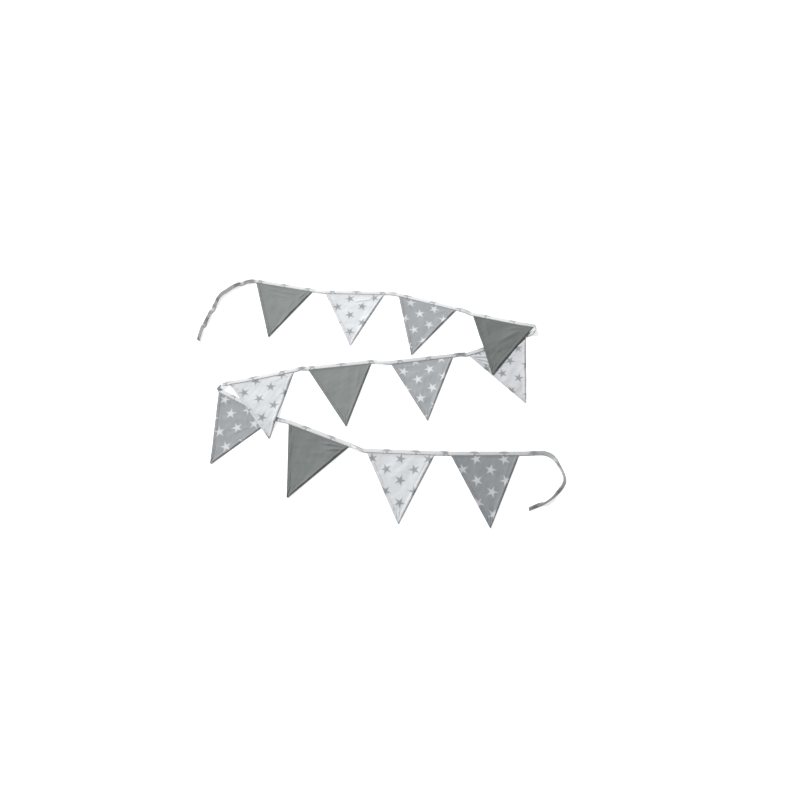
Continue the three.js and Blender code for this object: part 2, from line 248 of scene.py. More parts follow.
class BuntingSizes(bpy.types.PropertyGroup):
    """Sizes of the cloth pieces and their print"""

    pennant_width: length_property("Pennant width", "Width of a pennant along the tape", 170.0, 20.0)
    seam_width: length_property("Seam width", "Width of the turned seam along the sides", 9.0, 2.0)
    tip_width: length_property("Tip width", "Width of the turned tip", 3.0, 0.5)
    tape_layer: length_property("Tape layer", "Thickness of one side of the folded tape", 0.5, 0.1)
    tape_free: length_property(
        "Free tape thickness", "Thickness of the folded tape off the pennants", 1.7, 0.4)
    stitch_pitch: length_property("Stitch pitch", "Distance from stitch to stitch", 3.2, 1.0)
    star_size: length_property("Star size", "Distance from a star's centre to its points", 13.8, 2.0)
    star_waist: bpy.props.FloatProperty(
        name="Star waist", description="Inner radius of a star as a part of its size",
        default=0.38, min=0.2, max=0.8, subtype="FACTOR")
    repeat_across: length_property("Repeat across", "Distance between stars in a row", 70.0, 5.0)
    repeat_down: length_property(
        "Repeat down", "Distance between every second row of stars", 55.0, 5.0)
    weave_pitch: length_property("Weave pitch", "Distance from thread to thread", 0.6, 0.1)


def colour_property(name, description, default):
    return bpy.props.FloatVectorProperty(
        name=name, description=description, default=default, size=3, subtype="COLOR", min=0, max=1)


class BuntingColours(bpy.types.PropertyGroup):
    """Colours of the cloths, the tape and the thread"""

    grey: colour_property("Grey cloth", "Plain grey cloth", (0.192, 0.2075, 0.203))
    white: colour_property("White cloth", "Ground of the white cloth with grey stars",
                           (0.548, 0.563, 0.582))
    white_star: colour_property("Grey stars", "Stars on the white cloth", (0.235, 0.248, 0.262))
    soft_grey: colour_property("Soft grey cloth", "Ground of the grey cloth with white stars",
                               (0.281, 0.297, 0.309))
    grey_star: colour_property("White stars", "Stars on the grey cloth", (0.56, 0.575, 0.59))
    tape: colour_property("Tape", "Ground of the tape", (0.545, 0.555, 0.565))
    tape_star: colour_property("Tape stars", "Stars on the tape", (0.285, 0.3, 0.315))
    thread: colour_property("Thread", "Sewing thread", (0.7, 0.71, 0.72))


def settings():
    """The sizes, with their lengths in millimetres, and the colours"""
    scene = bpy.context.scene
    sizes = {key: getattr(scene.bunting_sizes, key) for key in BuntingSizes.__annotations__}
    waist = sizes.pop("star_waist")
    lengths = {key: round(value / MM, 4) for key, value in sizes.items()}
    return SimpleNamespace(star_waist=waist, **lengths), scene.bunting_colours


# Shape of the cloth


def smooth(t):
    s = np.clip(t, 0.0, 1.0)
    return s * s * (3.0 - 2.0 * s)


class Pennant:
    """One pennant: its place, its swells and its own directions in plan"""

    def __init__(self, number):
        self.number = number
        self.__dict__.update(zip(PLACE_COLUMNS, PLACES[number - 1]))
        self.__dict__.update(zip(SWELL_COLUMNS, SWELLS[number - 1]))
        self.tone = PAINTED_LIGHT_TONES[number - 1]
        turn = math.radians(self.turn)
        self.along = np.array((math.cos(turn), math.sin(turn)))
        self.up = np.array((-math.sin(turn), math.cos(turn)))
        self.back = 5 <= number <= 8

    def at(self, across, down):
        across, down = np.broadcast_arrays(np.asarray(across, float), np.asarray(down, float))
        middle = np.array((self.x, self.y))
        return middle + across[..., None] * self.along - down[..., None] * self.up


PENNANTS = tuple(Pennant(n) for n in range(1, len(PLACES) + 1))


def segment_distance(points, a, b):
    ab = b - a
    t = np.clip(((points - a) @ ab) / (ab @ ab), 0.0, 1.0)
    return np.linalg.norm(points - (a + t[..., None] * ab), axis=-1)


def triangle_distance(points, corners):
    sides = []
    edges = []
    for a, b in zip(corners, np.roll(corners, -1, axis=0)):
        sides.append((b[0] - a[0]) * (points[..., 1] - a[1]) - (b[1] - a[1]) * (points[..., 0] - a[0]))
        edges.append(segment_distance(points, a, b))
    sides = np.array(sides)
    inside = (sides >= 0).all(axis=0) | (sides <= 0).all(axis=0)
    return np.where(inside, 0.0, np.min(edges, axis=0))


def tape_end(pennant, side, width):
    return pennant.at(side * (width / 2 + SPAN_MARGIN), -TAPE_WIDTH / 2)


def lift(pennant, points):
    """Height a pennant is raised where it laps over the row below"""
    width = settings()[0].pennant_width
    if pennant.number == 4:
        under = PENNANTS[4]
        ends = tape_end(under, -1, width), np.array(RIGHT_TURN_INNER)
    elif pennant.number == 8:
        under = PENNANTS[8]
        ends = tape_end(under, -1, width), tape_end(PENNANTS[9], -1, width)
    else:
        return np.zeros(points.shape[:-1])
    corners = np.array([under.at(across, down) for across, down in
                        ((-width / 2, 0), (width / 2, 0), (under.skew, under.drop))])
    tape = np.maximum(0.0, segment_distance(points, *ends) - TAPE_WIDTH / 2)
    return np.maximum(LAP_OVER_TAPE * smooth(1 - tape / LAP_RUN),
                      LAP_OVER_CLOTH * smooth(1 - triangle_distance(points, corners) / LAP_RUN))


def underside(pennant, across, down, half):
    """Height of a pennant's lower layer"""
    part = down / pennant.drop
    r = np.hypot(across - pennant.hump_across, down - pennant.hump_down) / pennant.radius
    hump = pennant.height * np.clip(1 - r * r, 0, 1) ** 2
    ends = smooth((1 - part) / 0.16)
    side = across / half
    left, right = (smooth((s - EDGE_FROM) / EDGE_RUN) for s in (-side, side))
    left = pennant.left * left * smooth((part - 0.02) / 0.2) * ends
    right = RIGHT_RISE * pennant.right * right * smooth((part + 0.01) / 0.12) * ends
    tip = TIP_RISE * pennant.tip * smooth((part - TIP_FROM) / TIP_RUN)
    turned = np.clip(1 - (half - across) / RIGHT_DROOP_RUN, 0, 1) ** 1.5
    turned = RIGHT_DROOP * (right + tip) * turned
    return lift(pennant, pennant.at(across, down)) + hump + left + right + tip - turned


def ripples(pennant, across, down):
    """Soft unevenness of the upper layer, the same on every run"""
    rng = np.random.default_rng(40 + pennant.number)
    total = np.zeros_like(across)
    for wavelength, size in WAVES:
        for _ in range(3):
            angle, phase = rng.uniform(0, 2 * math.pi, 2)
            k = 2 * math.pi / (wavelength * rng.uniform(0.85, 1.2))
            total += size * np.sin(k * (across * math.cos(angle) + down * math.sin(angle)) + phase)
    return total


def creases(pennant, across, down):
    """Pressed creases of one pennant's upper layer"""
    total = np.zeros_like(across)
    points = np.stack((across, down), axis=-1)
    for values in CREASES:
        c = dict(zip(CREASE_COLUMNS, values))
        if c["pennant"] != pennant.number:
            continue
        a = np.array((c["across_1"], c["down_1"]), float)
        b = np.array((c["across_2"], c["down_2"]), float)
        t = ((points - a) @ (b - a)) / ((b - a) @ (b - a))
        fade = smooth(t / 0.25) * smooth((1 - t) / 0.35)
        off = segment_distance(points, a, b)
        total += c["height"] * np.exp(-(off / c["width"]) ** 2) * np.clip(fade, 0, 1)
    return total


def painted_cloth_light(pennant, across, down):
    """Painted light and shade of the cloth: the pennant's own level, darker towards its two sides and
    its tip
    """
    sides = (SIDE_PAINTED_SHADE - 1) * smooth((np.abs(across) - SIDE_TONE_FROM) / SIDE_TONE_RUN)
    tip = (TIP_PAINTED_SHADE - 1) * smooth((down - TIP_TONE_FROM) / TIP_TONE_RUN)
    return pennant.tone * (1 + sides + tip)


def column_offsets(half, seam):
    """Distances across rows of the given half widths, close together at the edges and seams"""
    band = np.array(EDGE_COLUMNS) * seam / EDGE_SEAM
    shrink = np.minimum(1.0, 0.8 * half / band[-1])
    edge = half[:, None] - band[None, :] * shrink[:, None]
    inner = edge[:, -1:]
    middle = inner * np.linspace(1, -1, MIDDLE_COLUMNS)[None, 1:-1]
    return np.hstack((-edge, -middle, edge[:, ::-1])), shrink


def sheet_mesh(name, upper, lower, uv, attributes):
    """A closed thin sheet from two grids of points in mm, with its own cloth coordinates"""
    rows, columns = upper.shape[:2]
    count = rows * columns
    points = np.concatenate((upper.reshape(-1, 3), lower.reshape(-1, 3)))
    grid = np.arange(count).reshape(rows, columns)
    a, b, c, d = grid[:-1, :-1], grid[1:, :-1], grid[1:, 1:], grid[:-1, 1:]
    faces = [np.stack((a, b, c, d), -1).reshape(-1, 4),
             np.stack((a, d, c, b), -1).reshape(-1, 4) + count]
    rim = np.concatenate((grid[0, :-1], grid[:-1, -1], grid[-1, :0:-1], grid[:0:-1, 0]))
    after = np.roll(rim, -1)
    faces.append(np.stack((rim, after, after + count, rim + count), -1))
    return mesh_object(name, points, np.concatenate(faces), np.tile(uv.reshape(-1, 2), (2, 1)),
                       {key: np.tile(value.reshape(-1), 2) for key, value in attributes.items()})


def mesh_object(name, points, faces, uv, attributes):
    mesh = bpy.data.meshes.new(name)
    mesh.from_pydata((points * MM).tolist(), [], faces.tolist())
    layer = mesh.uv_layers.new(name="Cloth")
    corners = np.empty(len(mesh.loops), dtype=np.int32)
    mesh.loops.foreach_get("vertex_index", corners)
    layer.uv.foreach_set("vector", (uv[corners] / CLOTH_UNIT).astype(np.float32).ravel())
    for key, values in attributes.items():
        attribute = mesh.attributes.new(name=key, type="FLOAT", domain="POINT")
        attribute.data.foreach_set("value", values.astype(np.float32))
    mesh.polygons.foreach_set("use_smooth", [True] * len(mesh.polygons))
    mesh.update()
    made = bpy.data.objects.new(name, mesh)
    bpy.context.scene.collection.objects.link(made)
    return made


def frame_shift():
    """Plan shift from the measured lay to the frame, from the corner of the level last pennant"""
    last = PENNANTS[11]
    low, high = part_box("pennant_12")
    width = settings()[0].pennant_width
    return np.array((high[0] / MM - (last.x + width / 2), high[1] / MM - (last.y + 10.0), 0.0))


def pennant_rows(pennant):
    """Distances down from the tape, from the heading's upper edge to the tip"""
    heading = (-HEADING_DEPTH, -6.0, -3.0, 0.0, 1.0, 3.0, 5.5)
    tip = pennant.drop - np.array((1.8, 0.9, 0.4, 0.1))
    return np.concatenate((heading, np.linspace(8.0, pennant.drop - 3.0, BODY_ROWS), tip))


def edge_round(pennant, off, down, right):
    """Rise of a pennant's upper side from its folded edges, from 0 to 1"""
    roll_off = np.clip(off / np.where(right, RIGHT_ROUND, LEFT_ROUND), 0.0, 1.0)
    end = np.clip((pennant.drop - down) / 1.4, 0.0, 1.0)
    return np.sqrt(roll_off * (2 - roll_off)) * np.sqrt(end * (2 - end))


def cloth_thickness(pennant, across, down, off, allowance, right):
    """Thickness of a pennant: the seam allowance inside its edges, then two plain layers"""
    seam = settings()[0].seam_width
    press = PRESS_DEPTH * np.exp(-((off - seam - PRESS_IN) / PRESS_WIDTH) ** 2)
    full = np.where(right, FULL_HEIGHT * np.exp(-((off - FULL_IN) / FULL_WIDTH) ** 2), 0.0)
    rng = np.random.default_rng(7 + pennant.number)
    wander = 2.2 * np.sin(down / 23.0 + rng.uniform(0, 6.28))
    pucker = np.sin(2 * math.pi * down / PUCKER_PITCH + wander) * np.sign(across)
    pucker = PUCKER_HEIGHT * pucker * np.exp(-((off - seam) / PUCKER_WIDTH) ** 2)
    gather = np.cos(2 * math.pi * across / GATHER_PITCH + 1.1 * pennant.number)
    part = np.clip(down / pennant.drop, 0, 1)
    gather = GATHER_HEIGHT * gather * smooth((part - 0.72) / 0.16) * smooth((off - 1.0) / 3.0)
    free = smooth((down - 1.0) / 6.0) * smooth(off / 6.0)
    puff = free * (ripples(pennant, across, down) + creases(pennant, across, down))
    thick = PLAIN_THICK + ALLOWANCE_THICK * allowance + full - press + pucker + gather + puff
    return np.maximum(LEAST_THICK, thick)


def build_pennant(pennant):
    sizes = settings()[0]
    rows = pennant_rows(pennant)
    row_part = np.clip(rows / pennant.drop, 0, 1)
    row_half = (sizes.pennant_width + (sizes.tip_width - sizes.pennant_width) * row_part) / 2
    across, shrink = column_offsets(row_half, sizes.seam_width)
    down, half, part = (np.broadcast_to(v[:, None], across.shape) for v in (rows, row_half, row_part))
    off = (half - np.abs(across)) / shrink[:, None]
    right = (across > 0) & (down > 2.0)
    edge = edge_round(pennant, off, down, right)
    allowance = smooth((sizes.seam_width + 0.8 - off) / 1.6)
    thick = cloth_thickness(pennant, across, down, off, allowance, right)
    level = underside(pennant, across, np.clip(down, 0, None), half)
    low = level + LOWER_PART * (1 - edge)
    high = level + LOWER_PART + (thick - LOWER_PART) * edge
    # The heading runs level inside the fold of the tape.
    inside = smooth((3.2 - down) / 2.6)
    in_tape = pennant.at(across, np.full_like(across, -TAPE_WIDTH / 2))
    centre = lift(pennant, in_tape) + TAPE_THICK / 2
    low = low * (1 - inside) + (centre - HEADING_HALF) * inside
    high = high * (1 - inside) + (centre + HEADING_HALF) * inside
    lateral = across + pennant.skew * part
    plan = pennant.at(lateral, down)
    upper, lower = (np.concatenate((plan, z[..., None]), axis=-1) + frame_shift() for z in (high, low))
    turn = math.radians(pennant.print_turn)
    cloth_x = lateral * math.cos(turn) + down * math.sin(turn) - pennant.print_x
    cloth_y = -lateral * math.sin(turn) + down * math.cos(turn) - pennant.print_y
    # Painted shade along the edges: strong on the right edges, which turn away from the light, and faint
    # on the fold of the left ones.
    shade = np.where(right, smooth((RIGHT_SHADE_IN - off) / RIGHT_SHADE_RUN),
                     LEFT_SHADE * smooth((LEFT_SHADE_RUN - off) / LEFT_SHADE_RUN))
    node = f"pennant_{pennant.number:02d}"
    # The tone attribute carries this painted light and shade of the cloth.
    made = sheet_mesh(f"cloth_{node}", upper, lower, np.stack((cloth_x, cloth_y), -1),
                      {"seam": allowance, "edge": shade, "tone": painted_cloth_light(pennant, across, down)})
    made.data.materials.append(cloth_material(pennant.cloth))
    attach(made, BODY)
    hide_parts(node)


# Route of the tape


def station(x, y, direction, base, roll, thick):
    return {"x": x, "y": y, "direction": np.asarray(direction, float), "base": base, "roll": roll,
            "thick": thick}


def spline_point(knots, t):
    """Point of a centripetal spline through the knots, t from 0 to 1"""
    place = (len(knots) - 1) * t
    i = min(int(place), len(knots) - 2)
    w = place - i
    p1, p2 = knots[i], knots[i + 1]
    p0 = knots[i - 1] if i > 0 else 2 * p1 - p2
    p3 = knots[i + 2] if i + 2 < len(knots) else 2 * p2 - p1
    d0, d1, d2 = (max(np.linalg.norm(b - a) ** 0.5, 1e-4) for a, b in ((p0, p1), (p1, p2), (p2, p3)))
    m1 = ((p1 - p0) / d0 - (p2 - p0) / (d0 + d1) + (p2 - p1) / d1) * d1
    m2 = ((p2 - p1) / d1 - (p3 - p1) / (d1 + d2) + (p3 - p2) / d2) * d1
    return (p1 + m1 * w + (3 * (p2 - p1) - 2 * m1 - m2) * w * w
            + (2 * (p1 - p2) + m1 + m2) * w * w * w)


def held_stations(pennant):
    """Stations of the tape along a pennant's upper edge"""
    half = settings()[0].pennant_width / 2
    reach = half + SPAN_MARGIN
    places = np.concatenate(((-reach,), np.linspace(-half, half, SPAN_STEPS), (reach,)))
    if pennant.back:
        places = places[::-1]
    direction = pennant.along * (-1 if pennant.back else 1)
    made = []
    for across in places:
        q = pennant.at(across, -TAPE_WIDTH / 2)
        held = pennant.at(np.clip(across, -half, half), -TAPE_WIDTH / 2)
        made.append(station(q[0], q[1], direction, float(lift(pennant, held[None, :])[0]),
                            180.0 if pennant.back else 0.0, TAPE_THICK))
    return made


def free_stations(points, start, end, steps):
    """Stations of a turn or a tie, through its known points, from and to the stations it joins"""
    knots = [np.array(p, float) for p in points]
    if start:
        knots.insert(0, np.array((start["x"], start["y"], start["roll"])))
    if end:
        knots.append(np.array((end["x"], end["y"], end["roll"])))
    thin = settings()[0].tape_free
    made = []
    for i in range(1 if start else 0, steps if end else steps + 1):
        t = i / steps
        q = spline_point(knots, t)
        ahead = spline_point(knots, min(1.0, t + 1e-4)) - spline_point(knots, max(0.0, t - 1e-4))
        direction = ahead[:2] / np.linalg.norm(ahead[:2])
        base = start["base"] * (1 - smooth(t)) if start else 0.0
        if end:
            base += end["base"] * smooth(t)
        made.append(station(q[0], q[1], direction, float(base), q[2], thin))
    return made


def link_stations(start, end, lean):
    """Stations of the short stretch between two pennants, which leans over halfway"""
    p0, p3 = (np.array((s["x"], s["y"])) for s in (start, end))
    reach = np.linalg.norm(p3 - p0) / 3
    p1, p2 = p0 + start["direction"] * reach, p3 - end["direction"] * reach
    thin = settings()[0].tape_free
    made = []
    for i in range(1, LINK_STEPS):
        t = i / LINK_STEPS
        q = (1 - t) ** 3 * p0 + 3 * (1 - t) ** 2 * t * p1 + 3 * (1 - t) * t * t * p2 + t ** 3 * p3
        way = (1 - t) ** 2 * (p1 - p0) + 2 * (1 - t) * t * (p2 - p1) + t * t * (p3 - p2)
        base = start["base"] + (end["base"] - start["base"]) * smooth(t)
        roll = start["roll"] + lean * math.sin(math.pi * t) ** 2
        made.append(station(q[0], q[1], way / np.linalg.norm(way), float(base), roll, thin))
    return made


def tape_route():
    """All stations of the tape from the left tie to the right one"""
    spans = [held_stations(p) for p in PENNANTS]
    route = free_stations(LEFT_TIE, None, spans[0][0], TIE_STEPS)
    for i, span in enumerate(spans):
        route += span
        if i == 3:
            route += free_stations(RIGHT_TURN, span[-1], spans[4][0], TURN_STEPS)
        elif i == 7:
            route += free_stations(LEFT_TURN, span[-1], spans[8][0], TURN_STEPS)
        elif i == 11:
            route += free_stations(RIGHT_TIE, span[-1], None, TIE_STEPS)
        else:
            route += link_stations(span[-1], spans[i + 1][0], LINK_ROLLS[i + 1])
    ease_thickness(route)
    lengths = [0.0]
    for a, b in zip(route, route[1:]):
        lengths.append(lengths[-1] + math.hypot(b["x"] - a["x"], b["y"] - a["y"]))
    for s, length in zip(route, lengths):
        s["length"] = length
    lay_print(route)
    # Every station takes its painted light and shade from that table, under the key tone.
    painted_tones = np.interp(lengths, known_lengths(route, TAPE_PAINTED_LIGHT), [tone for *_, tone in TAPE_PAINTED_LIGHT])
    for s, tone in zip(route, painted_tones):
        s["tone"] = float(tone)
    return route


def known_lengths(route, rows):
    """Lengths along the tape at which it passes the places x, y of the rows"""
    places = np.array([(s["x"], s["y"]) for s in route])
    return [route[np.argmin(np.linalg.norm(places - row[:2], axis=1))]["length"] for row in rows]


def lay_print(route):
    """Where every station lies on the tape's star repeat, in mm, from the few stars that are known"""
    lengths = np.array([s["length"] for s in route])
    repeat = settings()[0].repeat_across
    stars = np.array(TAPE_STARS, float)
    known = known_lengths(route, TAPE_STARS)
    printed = [0.0]
    for a, b in zip(known, known[1:]):
        printed.append(printed[-1] + repeat * max(1, round((b - a) / (1.05 * repeat))))
    ends = 1000.0
    along = np.interp(lengths, [known[0] - ends] + known + [known[-1] + ends],
                      [printed[0] - ends] + printed + [printed[-1] + ends])
    inward = np.interp(lengths, known, stars[:, 2])
    for s, place, middle in zip(route, along, inward):
        s["print"] = (float(place), float(middle))


def ease_thickness(route):
    """The tape flattens over a few millimetres where it leaves a pennant"""
    thick = np.array([s["thick"] for s in route])
    held = thick >= TAPE_THICK
    for _ in range(3):
        eased = thick.copy()
        eased[1:-1] = (thick[:-2] + thick[1:-1] + thick[2:]) / 3
        thick = np.where(held, TAPE_THICK, eased)
    for s, t in zip(route, thick):
        s["thick"] = float(t)


def section_frame(s):
    """Centre, width direction and thickness direction of the tape at a station, in mm"""
    roll = math.radians(s["roll"])
    side = np.array((s["direction"][1], -s["direction"][0], 0.0))
    rise = np.array((0.0, 0.0, 1.0))
    across = side * math.cos(roll) + rise * math.sin(roll)
    through = -side * math.sin(roll) + rise * math.cos(roll)
    half = TAPE_WIDTH / 2 * abs(math.sin(roll)) + s["thick"] / 2 * abs(math.cos(roll))
    return np.array((s["x"], s["y"], s["base"] + half)), across, through


def fold_outline(thick, layer, breath):
    """Outline of the folded strip at one station: outside from edge to edge, then back inside"""
    w, t = TAPE_WIDTH / 2 - 0.05, thick / 2 - 0.04
    inner = max(t - layer, LEAST_GAP)
    arc = np.radians((60, 20, -20, -60))
    lip = max(0.66 * t, inner * 0.5 + layer * 0.6)
    near, far, bend = w * 0.45, -w * 0.3, -w + t
    outside = [(w, lip), (near, t + breath), (far, t + breath), (bend, t)]
    outside += [(bend - t * math.cos(a), t * math.sin(a)) for a in arc]
    outside += [(bend, -t), (far, -t), (near, -t), (w, -lip)]
    gap = max(lip - layer, LEAST_GAP)
    inside = [(w, -gap), (near, -inner), (far, -inner), (bend, -inner)]
    inside += [(bend - inner * math.cos(a), -inner * math.sin(a)) for a in arc]
    inside += [(bend, inner), (far, inner + breath), (near, inner + breath), (w, gap)]
    return np.array(outside), np.array(inside)


def build_tape():
    sizes = settings()[0]
    route = tape_route()
    shift = frame_shift()
    points, uv, edge, tone = [], [], [], []
    for s in route:
        centre, across, through = section_frame(s)
        breath = 0.03 * math.sin(s["length"] / 9.0) + 0.03 * math.sin(s["length"] / 23.0 + 1)
        outside, inside = fold_outline(s["thick"], sizes.tape_layer, breath)
        ring = np.concatenate((outside, inside))
        points.append(centre + ring[:, :1] * across + ring[:, 1:] * through + shift)
        steps = np.linalg.norm(np.diff(outside, axis=0), axis=1)
        run = np.concatenate(((0.0,), np.cumsum(steps)))
        run = np.concatenate((run, run[::-1]))
        uv.append(np.stack((np.full(len(ring), s["print"][0]), run - s["print"][1]), -1))
        # Painted shade along the open lip of the tape, carried by the edge attribute.
        edge.append(0.1 * smooth((ring[:, 0] - TAPE_WIDTH / 2 + 0.9) / 0.8))
        # The tone attribute carries the tape's painted light and shade along its way.
        tone.append(np.full(len(ring), s["tone"]))
    points, uv, edge, tone = (np.array(values) for values in (points, uv, edge, tone))
    stations, around = points.shape[:2]
    grid = np.arange(stations * around).reshape(stations, around)
    nxt = np.roll(grid, -1, axis=1)
    walls = np.stack((grid[:-1], grid[1:], nxt[1:], nxt[:-1]), -1).reshape(-1, 4)
    half = around // 2
    strip = np.arange(half - 1)
    first = np.stack((strip, strip + 1, around - 2 - strip, around - 1 - strip), -1)
    caps = np.concatenate((first, first[:, ::-1] + grid[-1, 0]))
    made = mesh_object("folded_tape", points.reshape(-1, 3), np.concatenate((walls, caps)),
                       uv.reshape(-1, 2),
                       {"seam": np.zeros(stations * around), "edge": edge.ravel(), "tone": tone.ravel()})
    outward(made)
    made.data.materials.append(cloth_material("tape"))
    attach(made, BODY)
    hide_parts("tape")
    return made, route


def outward(made):
    """Turn every face of a closed piece outwards"""
    bpy.ops.object.select_all(action="DESELECT")
    bpy.context.view_layer.objects.active = made
    made.select_set(True)
    bpy.ops.object.mode_set(mode="EDIT")
    bpy.ops.mesh.select_all(action="SELECT")
    bpy.ops.mesh.normals_make_consistent(inside=False)
    bpy.ops.object.mode_set(mode="OBJECT")
    made.select_set(False)


def build_stitches(route):
    """Thread stitches along the open edge of the tape, on both sides"""
    sizes = settings()[0]
    shift = frame_shift()
    bpy.ops.object.select_all(action="DESELECT")
    bpy.ops.mesh.primitive_uv_sphere_add(segments=6, ring_count=4, radius=1.0)
    pattern = bpy.context.object
    shape = np.array([v.co[:] for v in pattern.data.vertices])
    faces = [list(p.vertices) for p in pattern.data.polygons]
    bpy.data.objects.remove(pattern, do_unlink=True)
    lengths = np.array([s["length"] for s in route])
    centres, acrosses, throughs = (np.array(a) for a in zip(*(section_frame(s) for s in route)))
    thick = np.array([s["thick"] for s in route])

    def pick(values, at):
        return np.array([np.interp(at, lengths, values[:, k]) for k in range(3)])

    points, all_faces = [], []
    for at in np.arange(4.0, lengths[-1] - 4.0, sizes.stitch_pitch):
        centre, across, through = (pick(v, at) for v in (centres, acrosses, throughs))
        across /= np.linalg.norm(across)
        through /= np.linalg.norm(through)
        ahead = np.cross(through, across)
        half = np.interp(at, lengths, thick) / 2
        for side in (1, -1):
            spot = centre + across * (TAPE_WIDTH / 2 - 1.6) + through * side * (half - 0.04)
            body = (shape[:, :1] * 1.15 * ahead + shape[:, 1:2] * 0.2 * across
                    + shape[:, 2:] * 0.13 * through)
            start = len(points) * len(shape)
            points.append(spot + body + shift)
            all_faces += [[i + start for i in f] for f in faces]
    points = np.concatenate(points)
    mesh = bpy.data.meshes.new("tape_stitching")
    mesh.from_pydata((points * MM).tolist(), [], all_faces)
    mesh.polygons.foreach_set("use_smooth", [True] * len(mesh.polygons))
    made = bpy.data.objects.new("tape_stitching", mesh)
    bpy.context.scene.collection.objects.link(made)
    outward(made)
    made.data.materials.append(thread_material())
    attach(made, BODY)
    return made


# Shader node groups


def new_group(name, inputs, outputs):
    tree = bpy.data.node_groups.new(name, "ShaderNodeTree")
    for label, kind, default in inputs:
        socket = tree.interface.new_socket(name=label, in_out="INPUT", socket_type=kind)
        if default is not None:
            socket.default_value = default
    for label, kind in outputs:
        tree.interface.new_socket(name=label, in_out="OUTPUT", socket_type=kind)
    return tree, tree.nodes.new("NodeGroupInput"), tree.nodes.new("NodeGroupOutput")


def put(tree, source, target):
    if isinstance(source, (int, float)):
        target.default_value = source
    elif isinstance(source, (tuple, list, Vector)):
        target.default_value = tuple(source)
    else:
        tree.links.new(source, target)


def math_node(tree, operation, *values):
    node = tree.nodes.new("ShaderNodeMath")
    node.operation = operation
    for value, socket in zip(values, node.inputs):
        put(tree, value, socket)
    return node.outputs[0]


def vector_node(tree, operation, *values, output=0):
    node = tree.nodes.new("ShaderNodeVectorMath")
    node.operation = operation
    for value, socket in zip(values, node.inputs):
        put(tree, value, socket)
    return node.outputs[output]


def noise_node(tree, vector, scale, detail=2.0, roughness=0.5):
    node = tree.nodes.new("ShaderNodeTexNoise")
    node.inputs["Scale"].default_value = scale
    node.inputs["Detail"].default_value = detail
    node.inputs["Roughness"].default_value = roughness
    tree.links.new(vector, node.inputs["Vector"])
    return node.outputs["Fac"]


def range_node(tree, value, low, high, to_low, to_high):
    node = tree.nodes.new("ShaderNodeMapRange")
    for v, socket in zip((value, low, high, to_low, to_high), node.inputs):
        put(tree, v, socket)
    return node.outputs[0]


def star_print_group():
    """Scattered five-pointed stars in a half-drop repeat; the vector is in millimetres"""
    if "Star print" in bpy.data.node_groups:
        return bpy.data.node_groups["Star print"]
    sizes = settings()[0]
    tree, enter, leave = new_group(
        "Star print", (("Vector", "NodeSocketVector", None), ("Softness", "NodeSocketFloat", 0.5)),
        (("Mask", "NodeSocketFloat"),))
    pitch = (sizes.repeat_across, sizes.repeat_down, 1.0)
    step = math.pi / 5
    waist = sizes.star_size * sizes.star_waist
    side = Vector((waist * math.sin(step), sizes.star_size - waist * math.cos(step), 0)).normalized()
    masks = []
    for offset in ((0.0, 0.0, 0.0), (sizes.repeat_across / 2, sizes.repeat_down / 2, 0.0)):
        place = vector_node(tree, "ADD", enter.outputs["Vector"], offset)
        cells = vector_node(tree, "DIVIDE", place, pitch)
        cell = vector_node(tree, "FLOOR", vector_node(tree, "ADD", cells, (0.5, 0.5, 0.5)))
        local = vector_node(tree, "SUBTRACT", place, vector_node(tree, "MULTIPLY", cell, pitch))
        split = tree.nodes.new("ShaderNodeSeparateXYZ")
        tree.links.new(local, split.inputs[0])
        flat = tree.nodes.new("ShaderNodeCombineXYZ")
        tree.links.new(split.outputs[0], flat.inputs[0])
        tree.links.new(split.outputs[1], flat.inputs[1])
        distance = vector_node(tree, "LENGTH", flat.outputs[0], output=1)
        seed = tree.nodes.new("ShaderNodeTexWhiteNoise")
        seed.noise_dimensions = "3D"
        tree.links.new(vector_node(tree, "ADD", cell, offset), seed.inputs["Vector"])
        angle = math_node(tree, "ARCTAN2", split.outputs[1], split.outputs[0])
        turned = math_node(tree, "MULTIPLY_ADD", seed.outputs["Value"], 2 * math.pi, angle)
        folded = math_node(tree, "PINGPONG", turned, step)
        x = math_node(tree, "MULTIPLY", distance, math_node(tree, "COSINE", folded))
        y = math_node(tree, "MULTIPLY", distance, math_node(tree, "SINE", folded))
        outside = math_node(tree, "ADD", math_node(tree, "MULTIPLY", x, side.x),
                            math_node(tree, "MULTIPLY", y, side.y))
        outside = math_node(tree, "SUBTRACT", outside, side.x * sizes.star_size)
        soft = enter.outputs["Softness"]
        masks.append(range_node(tree, outside, soft, math_node(tree, "MULTIPLY", soft, -1.0), 0.0, 1.0))
    tree.links.new(math_node(tree, "MAXIMUM", *masks), leave.inputs["Mask"])
    return tree


